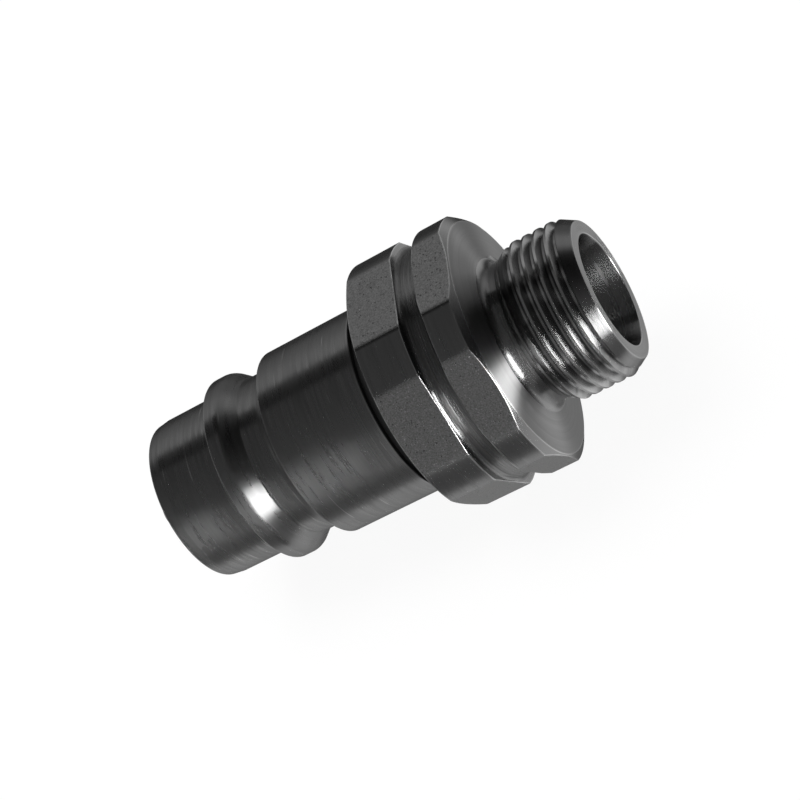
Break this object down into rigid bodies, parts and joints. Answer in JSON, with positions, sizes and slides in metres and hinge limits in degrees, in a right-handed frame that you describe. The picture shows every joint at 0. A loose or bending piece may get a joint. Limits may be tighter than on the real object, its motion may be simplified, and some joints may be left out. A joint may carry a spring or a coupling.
{
  "type": "hydraulic quick coupling plug",
  "caption": "Male half of a hydraulic quick coupling: turned nose with locking groove and sprung poppet valve, grooved hexagon, and threaded stud end with a cone for a tube.",
  "frame": {"origin": "on the coupling's axis, in the front face of the locking collar, where the nose begins", "axes": "+X along the axis towards the stud end, the nose points to -X, +Z out of the upper hexagon flat; the opposite flat faces -Z and is what the part lies on"},
  "size_m": [0.0622, 0.0318, 0.03],
  "materials": {
    "turned_steel": "dark plated steel with fine turning marks around the axis",
    "hexagon_steel": "dark plated steel, satin flats with small pits and turned ends",
    "valve_steel": "machined steel",
    "spring_steel": "drawn spring wire",
    "seal_rubber": "black nitrile rubber",
    "backup_plastic": "white fluoroplastic"
  },
  "bodies": {
    "shell": {"nose_body": "turned_steel", "hex_adapter": "hexagon_steel", "valve_guide": "valve_steel", "valve_spring": "spring_steel", "joint_o_ring": "seal_rubber", "joint_backup_ring": "backup_plastic"},
    "valve": {"valve_poppet": "valve_steel", "poppet_seal": "seal_rubber"}
  },
  "joints": [
    {"name": "valve_slide", "type": "slide", "parent": "shell", "child": "valve", "axis": [1, 0, 0], "range_m": [0, 0.006], "stiffness_N_per_m": 1200, "springref_m": -0.012, "deforming": ["valve_spring"]}
  ]
}
